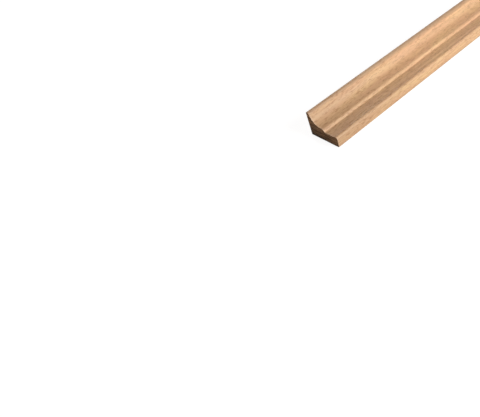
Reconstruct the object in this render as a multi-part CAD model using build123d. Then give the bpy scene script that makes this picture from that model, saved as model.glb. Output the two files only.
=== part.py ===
"""Hardwood cove moulding with a milled channel for an LED strip, one four-foot length.

The moulding lies on its base, with its length along X, its flat back towards +Y and its
milled face looking forward and up. From the top land a cove falls to a rounded nose. Below the
nose a leaning riser steps down to a flat channel, where the LED strip is stuck, and a low lip
along the front edge hides the strip from sight. Both ends are sawn square.

Sizes are in millimetres. The origin is the middle of the base.
"""

import math
import os

from build123d import *

# Length of the stock
length = 1220.0  # four feet

# Heights, from the base up
channel_floor_height = 7.6  # wood left under the LED strip
lip_rise = 0.5  # height of the lip above the channel floor
riser_height = 2.0  # step from the channel floor up to the nose
shelf_fall = 1.15  # how far the lower side of the cove falls towards the nose
wall_height = 8.25  # upper side of the cove, up to the level top land

# Widths, from the back towards the front
top_land = 2.45  # narrow top of the moulding
wall_run = 2.95  # lean of the upper side of the cove
shelf_run = 9.0  # lower side of the cove, out to the nose
riser_run = 0.9  # lean of the riser
riser_foot = 0.55  # rounded foot of the riser, clear of the strip
strip_width = 8.0  # standard single-colour LED strip
strip_clearance = 0.2  # room beside the strip
lip_foot = 0.3  # hollow at the foot of the lip, clear of the strip
lip_run = 0.6  # slope from the channel floor up to the lip
lip_crest = 2.05  # top of the lip with its rounded outer edge

# Rounded corners, as the cutter and sanding leave them
back_arris = 0.4  # lower edge of the back
top_back_round = 0.8  # upper edge of the back
top_round = 1.9  # edge between the top land and the cove
cove_radius = 8.5  # hollow between the two sides of the cove
nose_round = 2.2  # edge between the cove and the riser
riser_fillet = 0.85  # foot of the riser
lip_fillet = 0.8  # foot of the lip
crest_round = 0.3  # inner edge of the lip
lip_round = 1.85  # outer edge of the lip
front_foot_round = 1.0  # front edge of the base
most_of_a_side = 0.98  # rounds at both ends of one side leave a little of it straight

# Overall section, which adds up to 27 x 19 mm
strip_seat = strip_width + strip_clearance
cove_width = wall_run + shelf_run
channel_width = riser_foot + strip_seat + lip_foot
width = top_land + cove_width + riser_run + channel_width + lip_run + lip_crest
lip_height = channel_floor_height + lip_rise
nose_height = channel_floor_height + riser_height
cove_height = nose_height + shelf_fall
height = cove_height + wall_height

# Corners across the section, from the back (+Y) to the front (-Y)
back_y = width / 2
land_y = back_y - top_land
cove_y = land_y - wall_run
nose_y = cove_y - shelf_run
riser_y = nose_y - riser_run
lip_y = riser_y - channel_width
crest_y = lip_y - lip_run
front_y = -width / 2

# Each corner of the section in turn, with its round
section_corners = [
    ((back_y, 0), back_arris),
    ((back_y, height), top_back_round),
    ((land_y, height), top_round),
    ((cove_y, cove_height), cove_radius),
    ((nose_y, nose_height), nose_round),
    ((riser_y, channel_floor_height), riser_fillet),
    ((lip_y, channel_floor_height), lip_fillet),
    ((crest_y, lip_height), crest_round),
    ((front_y, lip_height), lip_round),
    ((front_y, 0), front_foot_round),
]


def rounds_that_fit(corners, rounds):
    """Take rounds down where the two on one side would otherwise run into each other."""
    count = len(corners)
    sides = [corners[(i + 1) % count] - corners[i] for i in range(count)]
    turns = [sides[i - 1].get_angle(sides[i]) for i in range(count)]
    reaches = [rounds[i] * math.tan(math.radians(turns[i] / 2)) for i in range(count)]
    shares = [
        most_of_a_side * sides[i].length / (reaches[i] + reaches[(i + 1) % count])
        for i in range(count)
    ]
    return [rounds[i] * min(1.0, shares[i - 1], shares[i]) for i in range(count)]


def moulded_section():
    """Draw the section once round, with a round of its own at each corner."""
    corners = [Vector(*place) for place, _ in section_corners]
    rounds = rounds_that_fit(corners, [radius for _, radius in section_corners])
    with BuildSketch(Plane.YZ) as section:
        with BuildLine():
            FilletPolyline(*corners, radius=rounds, close=True)
        make_face()
    return section.sketch


def milled_length():
    """Run the section along the whole length, half to each side of the origin."""
    moulding = extrude(moulded_section(), amount=length / 2, both=True)
    moulding.label = "moulding"
    return moulding


os.makedirs("parts", exist_ok=True)
export_step(milled_length(), "parts/moulding.step")
print(f"moulding: {length:.0f} x {width:.2f} x {height:.2f} mm")
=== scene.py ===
# %% [markdown]
# # A hardwood moulding for an LED strip
# The real object is one length of pale hardwood, planed to a section and sawn off square at both
# ends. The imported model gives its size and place. This lesson draws the same section again with
# finer curves, runs it along the length, and dresses it as bare, sanded wood.

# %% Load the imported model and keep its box
import math

import bmesh
import bpy
from mathutils import Matrix, Vector


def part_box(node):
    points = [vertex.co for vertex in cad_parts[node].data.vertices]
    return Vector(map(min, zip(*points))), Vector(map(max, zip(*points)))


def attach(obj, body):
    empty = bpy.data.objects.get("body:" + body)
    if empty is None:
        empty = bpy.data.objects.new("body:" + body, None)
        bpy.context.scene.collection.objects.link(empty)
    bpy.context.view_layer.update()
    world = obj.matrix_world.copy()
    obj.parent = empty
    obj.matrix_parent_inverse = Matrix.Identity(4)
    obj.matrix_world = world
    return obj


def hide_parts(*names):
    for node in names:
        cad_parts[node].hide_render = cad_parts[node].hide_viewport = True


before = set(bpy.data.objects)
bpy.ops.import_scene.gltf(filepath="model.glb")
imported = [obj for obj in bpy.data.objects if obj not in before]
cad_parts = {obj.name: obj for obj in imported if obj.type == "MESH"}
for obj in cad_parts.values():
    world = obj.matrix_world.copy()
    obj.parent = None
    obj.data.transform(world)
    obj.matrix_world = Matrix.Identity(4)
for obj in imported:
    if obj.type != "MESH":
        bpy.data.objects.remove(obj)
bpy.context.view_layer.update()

mm = 0.001
low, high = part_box("moulding")
length, width, height = high - low
print("moulding:", [round(side / mm, 2) for side in (length, width, height)], "mm")

# %% [markdown]
# ## The camera
# The picture was taken close to one sawn end, from a little above, with the camera tilted to one
# side. A camera can be turned by three angles, but an eye point, a point that it looks at and a
# roll are easier to read and to change. The lens is fairly wide, because the long edges run together
# quickly. The moulding fills a corner of the picture, away from the middle of the lens, so the lens
# is also shifted a little: that moves the picture without turning the camera. The Standard view shows
# colours as they are written, without a film look.

# %% Place the camera
camera_eye = Vector((-723.2, -168.8, 156.1)) * mm
camera_aim = Vector((-635.4, 20.7, 0)) * mm
camera_roll = math.radians(-20.95)
lens_mm = 28.5
sensor_mm = 36.0
lens_shift = (-0.08, -0.12)
nearest_seen = 10 * mm

camera = bpy.data.objects.new("camera", bpy.data.cameras.new("camera"))
camera.data.lens = lens_mm
camera.data.sensor_width = sensor_mm
camera.data.shift_x, camera.data.shift_y = lens_shift
camera.data.clip_start = nearest_seen
level_turn = (camera_aim - camera_eye).to_track_quat("-Z", "Y").to_matrix()
turn = level_turn @ Matrix.Rotation(camera_roll, 3, "Z")
camera.matrix_world = Matrix.Translation(camera_eye) @ turn.to_4x4()
bpy.context.scene.collection.objects.link(camera)
bpy.context.scene.camera = camera
bpy.context.scene.view_settings.view_transform = "Standard"
print("camera stands", round((camera_aim - camera_eye).length / mm), "mm from its aim")

# %% [markdown]
# ## The section
# A moulding's section is what its cutter leaves: straight runs joined by round ones. It could be a
# curve with a bevel, or a box with many edge bevels, but a bevel gives all its corners one width,
# and here each corner has a round of its own, from a fraction of a millimetre to the wide cove. So a
# pen goes round the corners: it extrudes its last vertex along a straight run and spins it about the
# middle of each round.

# %% Corners of the section and their rounds
channel_floor = 7.6 * mm
lip_height = 8.1 * mm
nose_height = 9.6 * mm
cove_height = 10.75 * mm

back_y, front_y = high.y, low.y
land_y = 11.05 * mm
cove_y = 8.1 * mm
nose_y = -0.9 * mm
riser_y = -1.8 * mm
lip_y = -10.85 * mm
crest_y = -11.45 * mm

top_back_round = 0.8 * mm
top_round = 1.9 * mm
cove_radius = 8.5 * mm
nose_round = 2.2 * mm
riser_fillet = 0.85 * mm
lip_fillet = 0.8 * mm
crest_round = 0.3 * mm
lip_round = 1.85 * mm
front_foot_round = 1.0 * mm
back_arris = 0.4 * mm

section_corners = [
    (back_y, height, top_back_round),
    (land_y, height, top_round),
    (cove_y, cove_height, cove_radius),
    (nose_y, nose_height, nose_round),
    (riser_y, channel_floor, riser_fillet),
    (lip_y, channel_floor, lip_fillet),
    (crest_y, lip_height, crest_round),
    (front_y, lip_height, lip_round),
    (front_y, 0, front_foot_round),
    (back_y, 0, back_arris),
]
print("section:", len(section_corners), "corners, channel", round((riser_y - lip_y) / mm, 2), "mm wide")

# %% The pen
facet = math.radians(5)


def straight(bm, last, place):
    """Extrude the last vertex in a straight run to a new place."""
    made = bmesh.ops.extrude_vert_indiv(bm, verts=[last])
    made["verts"][0].co = place
    return made["verts"][0]


def rounded(bm, last, corner, onward, radius):
    """Run towards a corner, then spin round it to where the next straight run begins."""
    way_in = (corner - last.co).normalized()
    way_out = (onward - corner).normalized()
    turn = way_in.angle(way_out)
    start = straight(bm, last, corner - way_in * radius * math.tan(turn / 2))
    axis = way_in.cross(way_out).normalized()
    centre = start.co + axis.cross(way_in) * radius
    steps = max(2, round(turn / facet))
    made = bmesh.ops.spin(bm, geom=[start], cent=centre, axis=axis, angle=turn, steps=steps)
    return next(part for part in made["geom_last"] if isinstance(part, bmesh.types.BMVert))


print("the pen turns in steps of about", round(math.degrees(facet)), "degrees")

# %% Trace the section at the left end
seam_merge = 0.01 * mm
bm = bmesh.new()
around = bm.verts.layers.float.new("around")
flat_map = bm.loops.layers.uv.new("OFBake")
seam = Vector((low.x, back_y, height / 2))
stops = [Vector((low.x, y, z)) for y, z, _ in section_corners] + [seam]
pen = bm.verts.new(seam)
for corner, onward, (_, _, radius) in zip(stops, stops[1:], section_corners):
    pen = rounded(bm, pen, corner, onward, radius)
straight(bm, pen, seam)
bmesh.ops.remove_doubles(bm, verts=bm.verts, dist=seam_merge)
print("outline:", len(bm.verts), "vertices,", len(bm.edges), "edges")

# %% [markdown]
# ## The milled length
# Real stock is pushed through the cutter, so the section is the same all the way along. Extruding
# the filled outline does the same thing. The extrusion stops just short of both ends, and an inset
# of each end face takes it the rest of the way: that leaves the tiny broken edge that sandpaper
# gives a sawn end.

# %% Fill the outline and remember how far round it each vertex lies
section = bmesh.ops.edgeloop_fill(bm, edges=bm.edges[:])["faces"][0]
corner = min(section.loops, key=lambda loop: (loop.vert.co - seam).length)
girth = 0.0
for _ in range(len(section.loops)):
    corner.vert[around] = girth
    girth += corner.edge.calc_length()
    corner = corner.link_loop_next
print("girth of the section:", round(girth / mm, 1), "mm")

# %% Extrude it and break the edges of both ends
end_break = 0.15 * mm
facing_end, square_end = 0.5, 0.99

bmesh.ops.translate(bm, verts=bm.verts, vec=(end_break, 0, 0))
run = bmesh.ops.extrude_face_region(bm, geom=[section])
far_verts = [part for part in run["geom"] if isinstance(part, bmesh.types.BMVert)]
bmesh.ops.translate(bm, verts=far_verts, vec=(length - 2 * end_break, 0, 0))
bmesh.ops.recalc_face_normals(bm, faces=bm.faces)
ends = [face for face in bm.faces if abs(face.normal.x) > facing_end]
bmesh.ops.inset_region(bm, faces=ends, thickness=end_break, depth=end_break)
ends = [face for face in bm.faces if abs(face.normal.x) > square_end]
print("end faces:", len(ends), "open edges:", sum(edge.is_boundary for edge in bm.edges))

# %% Cut the long faces into even lengths
stretches = 24
long_edges = [edge for edge in bm.edges if edge.calc_length() > length / 2]
bmesh.ops.subdivide_edges(bm, edges=long_edges, cuts=stretches - 1)
print("faces:", len(bm.faces))

# %% [markdown]
# ## A flat map of the surface
# The wood pattern is solid and needs no map, but a painted copy of it does. Unrolled, the moulding
# is a strip many times longer than wide, which wastes a square picture. So the strip is cut into
# three, stacked one above the other, with the two ends in the row left over at the top.

# %% Unroll the surface
strips = 3
strip_length = length / strips
strip_share = 0.3
strip_fill = 0.98
row_gap = 0.02
end_row = strips * strip_share + row_gap
end_spacing = 0.1
round_scale = strip_share * strip_fill / girth
map_pixels = 1024

for face in bm.faces:
    middle_x = face.calc_center_median().x
    strip = min(strips - 1, int((middle_x - low.x) / strip_length))
    furthest = max(vert[around] for vert in face.verts)
    for loop in face.loops:
        place = loop.vert.co
        turned = loop.vert[around]
        if furthest - turned > girth / 2:
            turned += girth
        u = (place.x - low.x) / strip_length - strip
        v = strip * strip_share + turned * round_scale
        if face in ends:
            u = (place.y - front_y) / strip_length + (end_spacing if middle_x > 0 else 0)
            v = end_row + place.z * round_scale
        loop[flat_map].uv = (u, v)
print("map:", round(map_pixels * round_scale * mm, 2), "pixels per mm round the section at", map_pixels)

# %% Make the moulding a piece of the object
for face in bm.faces:
    face.smooth = face not in ends
    face.material_index = 1 if face in ends else 0
mesh = bpy.data.meshes.new("moulding_wood")
bm.to_mesh(mesh)
bm.free()
moulding = bpy.data.objects.new("moulding_wood", mesh)
bpy.context.scene.collection.objects.link(moulding)
normals = moulding.modifiers.new("flat faces stay flat", "WEIGHTED_NORMAL")
normals.keep_sharp = True
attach(moulding, "root")
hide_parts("moulding")
print("moulding_wood:", len(mesh.polygons), "faces")

# %% [markdown]
# ## Tools for the finishes
# Colours are written as the hex values that a paint program shows, and Blender works in linear
# light, so one function turns one into the other. A second adds a node, sets it and wires it, which
# keeps a material as short as its description. A Mix node holds a set of sockets for each kind of
# data under the same names, so its colour sockets are called by number, and the numbers get names.

# %% Colour and node helpers
share, under, over, blend = 0, 6, 7, 2


def paint(hex_code):
    """Turn an sRGB hex value into the linear colour that a node takes."""
    shares = [int(hex_code[place:place + 2], 16) / 255 for place in (1, 3, 5)]
    linear = [s / 12.92 if s <= 0.04045 else ((s + 0.055) / 1.055) ** 2.4 for s in shares]
    return (*linear, 1)


def add(tree, kind, wires, **settings):
    """Add a node, set its properties and give each named input a value or a wire."""
    node = tree.nodes.new(kind)
    for name, value in settings.items():
        setattr(node, name, value)
    for name, value in wires.items():
        if isinstance(value, bpy.types.NodeSocket):
            tree.links.new(value, node.inputs[name])
        else:
            node.inputs[name].default_value = value
    return node


print("middle grey in linear light:", [round(value, 3) for value in paint("#808080")])

# %% [markdown]
# ## How the wood grew
# A tree lays down rings round its pith, and rays run outward through them. The moulding was cut
# from one side of the trunk, so its pattern is solid: rings show as long lines on the faces and as
# bands on the ends. One function lays out that growth in millimetres, from the object's own
# coordinates, and both finishes use it, so the lines on a face meet the bands on the end.

# %% Growth of the wood
per_mm = 1000.0
pith_y, pith_z = 22.0, -46.0
grain_slope = (0.0, math.radians(0.35), math.radians(0.5))
wander_size = (160, 28, 28)
ring_wander = 5.0
trunk_radius = 58.0


def growth(tree):
    """Give each place by its way along the grain, out from the pith and round it, in mm."""
    object_place = add(tree, "ShaderNodeTexCoord", {}).outputs["Object"]
    place = add(tree, "ShaderNodeVectorMath", {0: object_place, "Scale": per_mm}, operation="SCALE")
    trunk = add(tree, "ShaderNodeMapping", {"Vector": place.outputs[0], "Rotation": grain_slope,
                                            "Location": (0, -pith_y, -pith_z)})
    axes = add(tree, "ShaderNodeSeparateXYZ", {"Vector": trunk.outputs[0]})
    slow = add(tree, "ShaderNodeVectorMath", {0: trunk.outputs[0], 1: wander_size}, operation="DIVIDE")
    wander = add(tree, "ShaderNodeTexNoise", {"Vector": slow.outputs[0], "Scale": 1.0, "Detail": 2.0})
    across = add(tree, "ShaderNodeVectorMath", {0: trunk.outputs[0], 1: (0, 1, 1)}, operation="MULTIPLY")
    reach = add(tree, "ShaderNodeVectorMath", {0: across.outputs[0]}, operation="LENGTH")
    radius = add(tree, "ShaderNodeMath", {0: wander.outputs["Fac"], 1: ring_wander,
                                          2: reach.outputs["Value"]}, operation="MULTIPLY_ADD")
    angle = add(tree, "ShaderNodeMath", {0: axes.outputs["Z"], 1: axes.outputs["Y"]}, operation="ARCTAN2")
    turned = add(tree, "ShaderNodeMath", {0: angle.outputs[0], 1: trunk_radius}, operation="MULTIPLY")
    grown = add(tree, "ShaderNodeCombineXYZ", {"X": axes.outputs["X"], "Y": radius.outputs[0],
                                               "Z": turned.outputs[0]})
    return grown.outputs[0]


print("pith:", pith_y, "mm behind the middle and", -pith_z, "mm below the base")

# %% Year lines
ring_width = 1.9
line_begins, line_darkest = 0.35, 0.85


def latewood(tree, grown):
    """Give 1 on the thin dark line that ends each year's growth, and 0 between the lines."""
    radius = add(tree, "ShaderNodeSeparateXYZ", {"Vector": grown}).outputs["Y"]
    years = add(tree, "ShaderNodeMath", {0: radius, 1: ring_width}, operation="DIVIDE")
    season = add(tree, "ShaderNodeMath", {0: years.outputs[0]}, operation="FRACT")
    curve = add(tree, "ShaderNodeValToRGB", {"Fac": season.outputs[0]})
    curve.color_ramp.elements[0].position = line_begins
    curve.color_ramp.elements[1].position = line_darkest
    year_end = curve.color_ramp.elements.new(1.0)
    curve.color_ramp.elements[0].color = (0, 0, 0, 1)
    curve.color_ramp.elements[1].color = (1, 1, 1, 1)
    year_end.color = (0, 0, 0, 1)
    return curve.outputs["Color"]


print("one year is", ring_width, "mm wide")

# %% [markdown]
# ## Sanded hardwood
# The faces are planed and sanded but bare. To the eye that is a warm, pinkish tan with a soft sheen
# and no gloss, which runs along the length and shows each round by its shading. Pale and rosy patches
# lie under long soft streaks and faint year lines. All three are noise or rings on the growth, each
# divided by the real size of its pattern, and each is laid over the one before by a Mix node.

# %% Patches, streaks and year lines of the faces
pale_wood, rosy_wood = "#F2CA95", "#EABB90"
streak_wood, year_line = "#D3A478", "#C9986A"
patch_size = (36, 4, 5)
streak_size = (80, 1.8, 2.2)
streak_strength, year_strength = 0.44, 0.22
rosy_from, rosy_to = 0.3, 0.7
streak_from, streak_to = 0.4, 0.7

sanded_hardwood = bpy.data.materials.new("sanded_hardwood")
sanded_hardwood.use_nodes = True
tree = sanded_hardwood.node_tree
grown = growth(tree)
patch_place = add(tree, "ShaderNodeVectorMath", {0: grown, 1: patch_size}, operation="DIVIDE")
patches = add(tree, "ShaderNodeTexNoise", {"Vector": patch_place.outputs[0], "Scale": 1.0,
                                           "Detail": 2.0, "Roughness": 0.6})
rosy = add(tree, "ShaderNodeMapRange", {"Value": patches.outputs["Fac"], "From Min": rosy_from,
                                        "From Max": rosy_to}, interpolation_type="SMOOTHSTEP")
wood = add(tree, "ShaderNodeMix", {share: rosy.outputs[0], under: paint(pale_wood),
                                   over: paint(rosy_wood)}, data_type="RGBA")

streak_place = add(tree, "ShaderNodeVectorMath", {0: grown, 1: streak_size}, operation="DIVIDE")
streaks = add(tree, "ShaderNodeTexNoise", {"Vector": streak_place.outputs[0], "Scale": 1.0,
                                           "Detail": 2.0, "Roughness": 0.5})
streaky = add(tree, "ShaderNodeMapRange", {"Value": streaks.outputs["Fac"], "From Min": streak_from,
                                           "From Max": streak_to, "To Max": streak_strength},
              interpolation_type="SMOOTHSTEP")
wood = add(tree, "ShaderNodeMix", {share: streaky.outputs[0], under: wood.outputs[blend],
                                   over: paint(streak_wood)}, data_type="RGBA")

lines = add(tree, "ShaderNodeMath", {0: latewood(tree, grown), 1: year_strength}, operation="MULTIPLY")
wood = add(tree, "ShaderNodeMix", {share: lines.outputs[0], under: wood.outputs[blend],
                                   over: paint(year_line)}, data_type="RGBA")
print("patches", patch_size, "mm and streaks", streak_size, "mm along, out and round")

# %% [markdown]
# ### Painted shade, darker ends and torn fibres
# Painted shade darkens the top edge and the foot of the faces, and the wood is drawn darker towards
# both ends. The saw leaves a pale rim of torn fibres at the very end. Each is a share that grows
# towards an edge, over a few millimetres, or towards an end, over about a hand's width. It is worked
# out from the object's own coordinates.

# %% Painted shade on the edges, darker ends and torn rim of the faces
# The first colour serves as painted shade on the top edge and the foot, and as the darker tone towards the
# ends.
edge_shade_and_end_tone, torn_fibre = "#AC8C6C", "#E6D2BA"
end_x = length / 2
end_tone_reach, top_shade_reach, foot_shade_reach, torn_rim = 110 * mm, 3.9 * mm, 2.5 * mm, 1.4 * mm
end_tone_strength, top_shade_strength, foot_shade_strength, rim_wear = 0.5, 0.88, 0.6, 0.25

object_place = add(tree, "ShaderNodeTexCoord", {}).outputs["Object"]
axes = add(tree, "ShaderNodeSeparateXYZ", {"Vector": object_place})
from_middle = add(tree, "ShaderNodeMath", {0: axes.outputs["X"]}, operation="ABSOLUTE")
# The wood is drawn darker towards both ends, over the last 110 mm.
at_end = add(tree, "ShaderNodeMapRange", {"Value": from_middle.outputs[0], "From Min": end_x - end_tone_reach,
                                          "From Max": end_x, "To Max": end_tone_strength},
             interpolation_type="SMOOTHSTEP")
# Painted shade along the top edge.
painted_top_shade = add(tree, "ShaderNodeMapRange", {"Value": axes.outputs["Z"], "From Min": height - top_shade_reach,
                                          "From Max": height, "To Max": top_shade_strength},
             interpolation_type="SMOOTHSTEP")
# Painted shade along the foot.
painted_foot_shade = add(tree, "ShaderNodeMapRange", {"Value": axes.outputs["Z"], "From Min": foot_shade_reach,
                                           "From Max": 0.0, "To Max": foot_shade_strength},
              interpolation_type="SMOOTHSTEP")
painted_edge_shade = add(tree, "ShaderNodeMath", {0: painted_top_shade.outputs[0], 1: painted_foot_shade.outputs[0]}, operation="MAXIMUM")
edge_shade_and_end_share = add(tree, "ShaderNodeMath", {0: painted_edge_shade.outputs[0], 1: at_end.outputs[0]}, operation="MAXIMUM")
# Lay the painted edge shade and the darker ends over the wood.
wood = add(tree, "ShaderNodeMix", {share: edge_shade_and_end_share.outputs[0], under: wood.outputs[blend],
                                   over: paint(edge_shade_and_end_tone)}, data_type="RGBA")
at_rim = add(tree, "ShaderNodeMapRange", {"Value": from_middle.outputs[0], "From Min": end_x - torn_rim,
                                          "From Max": end_x, "To Max": rim_wear},
             interpolation_type="SMOOTHSTEP")
wood = add(tree, "ShaderNodeMix", {share: at_rim.outputs[0], under: wood.outputs[blend],
                                   over: paint(torn_fibre)}, data_type="RGBA")
print("handled wood reaches", round(end_tone_reach / mm), "mm in from each end")

# %% [markdown]
# ### Open pores
# The cutter leaves many short pores open, and dust settles in them. They are drawn darker towards
# both ends, and they come last, over the painted shade and the darker ends. A real pore is a few
# millimetres long and a tenth of a millimetre thick. It is drawn thicker here, or it wouldn't show.
# Pores crowd together in flecks, which is what the eye picks out from further away, so one noise draws
# the pores and a second, coarser one says where they crowd. The product of both colours the wood and dents
# it.

# %% Pores of the faces
pore_brown = "#A0704A"
pore_size = (3.0, 0.5, 0.5)
fleck_size = (6.0, 1.5, 1.5)
pore_strength, end_pore_darkening = 0.42, 0.6
pore_depth, pore_bump = 0.05 * mm, 0.5
pore_from, pore_to = 0.42, 0.62
fleck_from, fleck_to = 0.34, 0.68
sheen_smooth, sheen_dull = 0.45, 0.62

pore_place = add(tree, "ShaderNodeVectorMath", {0: grown, 1: pore_size}, operation="DIVIDE")
pores = add(tree, "ShaderNodeTexNoise", {"Vector": pore_place.outputs[0], "Scale": 1.0,
                                         "Detail": 1.0, "Roughness": 0.6})
# The pores are drawn darker towards both ends.
pore_darkness = add(tree, "ShaderNodeMath", {0: at_end.outputs[0], 1: end_pore_darkening, 2: pore_strength},
            operation="MULTIPLY_ADD")
open_pores = add(tree, "ShaderNodeMapRange", {"Value": pores.outputs["Fac"], "From Min": pore_from,
                                              "From Max": pore_to, "To Max": pore_darkness.outputs[0]},
                 interpolation_type="SMOOTHSTEP")
fleck_place = add(tree, "ShaderNodeVectorMath", {0: grown, 1: fleck_size}, operation="DIVIDE")
flecks = add(tree, "ShaderNodeTexNoise", {"Vector": fleck_place.outputs[0], "Scale": 1.0,
                                          "Detail": 1.0, "Roughness": 0.6})
crowded = add(tree, "ShaderNodeMapRange", {"Value": flecks.outputs["Fac"], "From Min": fleck_from,
                                           "From Max": fleck_to}, interpolation_type="SMOOTHSTEP")
fleck_pores = add(tree, "ShaderNodeMath", {0: open_pores.outputs[0], 1: crowded.outputs[0]},
                  operation="MULTIPLY")
wood = add(tree, "ShaderNodeMix", {share: fleck_pores.outputs[0], under: wood.outputs[blend],
                                   over: paint(pore_brown)}, data_type="RGBA")
relief = add(tree, "ShaderNodeBump", {"Height": fleck_pores.outputs[0], "Strength": pore_bump,
                                      "Distance": pore_depth}, invert=True)
sheen = add(tree, "ShaderNodeMapRange", {"Value": streaks.outputs["Fac"], "To Min": sheen_smooth,
                                         "To Max": sheen_dull})
shader = tree.nodes["Principled BSDF"]
tree.links.new(wood.outputs[blend], shader.inputs["Base Color"])
tree.links.new(sheen.outputs[0], shader.inputs["Roughness"])
tree.links.new(relief.outputs[0], shader.inputs["Normal"])
print("sanded_hardwood:", len(tree.nodes), "nodes")

# %% [markdown]
# ## Sawn end grain
# A saw cuts straight across the fibres, so the open pores drink in the light. To the eye the end is
# a dull dark brown that sets off the pale outline of the faces. It is darker towards the bottom, most
# at the lower corner of the back, and noise moves the edge of the darker part up and down. Year rings
# cross it as faint bands, and the pores show as dark specks, drawn wider than life so that they show.
# The saw's teeth leave level scratches, a noise stretched sideways.

# %% Sawn end grain
end_brown, end_dark_tone, end_line = "#C49870", "#66584A", "#443222"
darkening_rise = (0, -0.25, 1)
darkening_top, darkening_foot = 14 * mm, 2 * mm
edge_noise_size, edge_noise_reach = 4.5 * mm, 8 * mm

sawn_end_grain = bpy.data.materials.new("sawn_end_grain")
sawn_end_grain.use_nodes = True
tree = sawn_end_grain.node_tree
object_place = add(tree, "ShaderNodeTexCoord", {}).outputs["Object"]
rise = add(tree, "ShaderNodeVectorMath", {0: object_place, 1: darkening_rise}, operation="DOT_PRODUCT")
edge_noise_place = add(tree, "ShaderNodeVectorMath", {0: object_place, "Scale": 1 / edge_noise_size}, operation="SCALE")
edge_noise = add(tree, "ShaderNodeTexNoise", {"Vector": edge_noise_place.outputs[0], "Scale": 1.0, "Detail": 2.0})
darkening_height = add(tree, "ShaderNodeMath", {0: edge_noise.outputs["Fac"], 1: edge_noise_reach, 2: rise.outputs["Value"]},
             operation="MULTIPLY_ADD")
# The end is darker towards the bottom and the back, with a noisy edge.
darker_share = add(tree, "ShaderNodeMapRange", {"Value": darkening_height.outputs[0], "From Min": darkening_top,
                                           "From Max": darkening_foot}, interpolation_type="SMOOTHSTEP")
wood = add(tree, "ShaderNodeMix", {share: darker_share.outputs[0], under: paint(end_brown),
                                   over: paint(end_dark_tone)}, data_type="RGBA")
year_bands = latewood(tree, growth(tree))
lines = add(tree, "ShaderNodeMath", {0: year_bands, 1: year_strength}, operation="MULTIPLY")
wood = add(tree, "ShaderNodeMix", {share: lines.outputs[0], under: wood.outputs[blend],
                                   over: paint(end_line)}, data_type="RGBA")
print("stain rises to about", round((darkening_top - edge_noise_reach / 2) / mm), "mm in the middle of the end")

# %% Open pores of the end
end_pore_size = 0.55 * mm
end_pore_strength = 0.66
end_pore_from, end_pore_to = 0.45, 0.65

pore_place = add(tree, "ShaderNodeVectorMath", {0: object_place, "Scale": 1 / end_pore_size},
                 operation="SCALE")
pores = add(tree, "ShaderNodeTexNoise", {"Vector": pore_place.outputs[0], "Scale": 1.0, "Detail": 1.0})
open_pores = add(tree, "ShaderNodeMapRange", {"Value": pores.outputs["Fac"], "From Min": end_pore_from,
                                              "From Max": end_pore_to, "To Max": end_pore_strength},
                 interpolation_type="SMOOTHSTEP")
wood = add(tree, "ShaderNodeMix", {share: open_pores.outputs[0], under: wood.outputs[blend],
                                   over: paint(end_line)}, data_type="RGBA")
print("end pores:", end_pore_size / mm, "mm")

# %% Tooth marks of the end
tooth_width, tooth_height, tooth_depth = 16 * mm, 1.6 * mm, 0.08 * mm
tooth_strength, tooth_bump = 0.66, 0.6
tooth_from, tooth_to = 0.4, 0.64
end_roughness, end_shine = 0.9, 0.15

tooth_scale = (0, 1 / tooth_width, 1 / tooth_height)
tooth_place = add(tree, "ShaderNodeVectorMath", {0: object_place, 1: tooth_scale}, operation="MULTIPLY")
teeth = add(tree, "ShaderNodeTexNoise", {"Vector": tooth_place.outputs[0], "Scale": 1.0, "Detail": 1.0})
scratched = add(tree, "ShaderNodeMapRange", {"Value": teeth.outputs["Fac"], "From Min": tooth_from,
                                             "From Max": tooth_to, "To Max": tooth_strength},
                interpolation_type="SMOOTHSTEP")
wood = add(tree, "ShaderNodeMix", {share: scratched.outputs[0], under: wood.outputs[blend],
                                   over: paint(end_line)}, data_type="RGBA")
relief = add(tree, "ShaderNodeBump", {"Height": teeth.outputs["Fac"], "Strength": tooth_bump,
                                      "Distance": tooth_depth})
shader = tree.nodes["Principled BSDF"]
tree.links.new(wood.outputs[blend], shader.inputs["Base Color"])
tree.links.new(relief.outputs[0], shader.inputs["Normal"])
shader.inputs["Roughness"].default_value = end_roughness
shader.inputs["Specular IOR Level"].default_value = end_shine
print("sawn_end_grain:", len(tree.nodes), "nodes")

# %% Dress the moulding
moulding.data.materials.append(sanded_hardwood)
moulding.data.materials.append(sawn_end_grain)
print("finishes:", [material.name for material in moulding.data.materials])

# %% [markdown]
# ## Light and floor
# The light comes from the front and the right, low enough to fill the cove and leave the level
# channel in half shade. The left end is turned away from it and stays dark. A second, weaker light
# keeps the flat back readable. Distant suns are used because they light the whole length evenly.

# %% Lamps
def sun(name, towards_lamp, level, softness):
    """A distant soft lamp. A level of 1 shows a facing surface in its own colour."""
    lamp = bpy.data.lights.new(name, "SUN")
    lamp.energy = level * math.pi
    lamp.angle = math.radians(softness)
    lamp_object = bpy.data.objects.new(name, lamp)
    lamp_object.rotation_mode = "QUATERNION"
    lamp_object.rotation_quaternion = Vector(towards_lamp).to_track_quat("Z", "Y")
    bpy.context.scene.collection.objects.link(lamp_object)
    print(name, "at level", level, "and", softness, "degrees wide")


sun("front_light", (0.32, -0.86, 0.44), level=0.84, softness=30)
sun("back_light", (0.55, 0.80, 0.20), level=0.45, softness=40)

# %% [markdown]
# ### A white backdrop
# A floor that is bright enough to look white would wash out the shadow on it. So the world and the
# floor answer two kinds of ray differently: rays that light the wood meet a dim fill and a plain pale
# floor, and rays that show the backdrop meet white, or a floor that glows and still takes a soft
# shadow.

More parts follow.
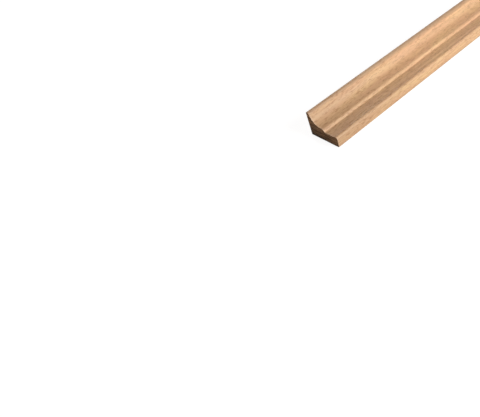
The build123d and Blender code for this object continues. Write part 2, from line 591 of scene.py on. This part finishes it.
# %% World
fill_light, backdrop_white = "#786E69", "#FFFFFF"


def seen_directly(tree):
    """Give 1 for camera, mirror and glass rays, and 0 for the rays that light things."""
    path = add(tree, "ShaderNodeLightPath", {})
    camera_or_mirror = add(tree, "ShaderNodeMath", {0: path.outputs["Is Camera Ray"],
                                                    1: path.outputs["Is Glossy Ray"]}, operation="MAXIMUM")
    any_ray = add(tree, "ShaderNodeMath", {0: camera_or_mirror.outputs[0],
                                           1: path.outputs["Is Transmission Ray"]}, operation="MAXIMUM")
    return any_ray.outputs[0]


world = bpy.data.worlds.new("studio")
world.use_nodes = True
bpy.context.scene.world = world
tree = world.node_tree
sky = add(tree, "ShaderNodeMix", {share: seen_directly(tree), under: paint(fill_light),
                                  over: paint(backdrop_white)}, data_type="RGBA")
tree.links.new(sky.outputs[blend], tree.nodes["Background"].inputs["Color"])
print("fill light:", fill_light)

# %% Floor
floor_pale, floor_shade = "#DCDCDC", "#808080"
floor_glow = 0.92
floor_size = 60.0

floor_finish = bpy.data.materials.new("white_floor")
floor_finish.use_nodes = True
tree = floor_finish.node_tree
shader = tree.nodes["Principled BSDF"]
seen = seen_directly(tree)
floor_paint = add(tree, "ShaderNodeMix", {share: seen, under: paint(floor_pale), over: paint(floor_shade)},
                  data_type="RGBA")
glow = add(tree, "ShaderNodeMath", {0: seen, 1: floor_glow}, operation="MULTIPLY")
tree.links.new(floor_paint.outputs[blend], shader.inputs["Base Color"])
tree.links.new(glow.outputs[0], shader.inputs["Emission Strength"])
shader.inputs["Emission Color"].default_value = paint(backdrop_white)
shader.inputs["Roughness"].default_value = 1.0
shader.inputs["Specular IOR Level"].default_value = 0.0

bm = bmesh.new()
bmesh.ops.create_grid(bm, x_segments=1, y_segments=1, size=floor_size / 2)
floor_mesh = bpy.data.meshes.new("floor")
bm.to_mesh(floor_mesh)
bm.free()
floor_mesh.materials.append(floor_finish)
floor = bpy.data.objects.new("floor", floor_mesh)
bpy.context.scene.collection.objects.link(floor)
print("floor:", floor_size, "m square")
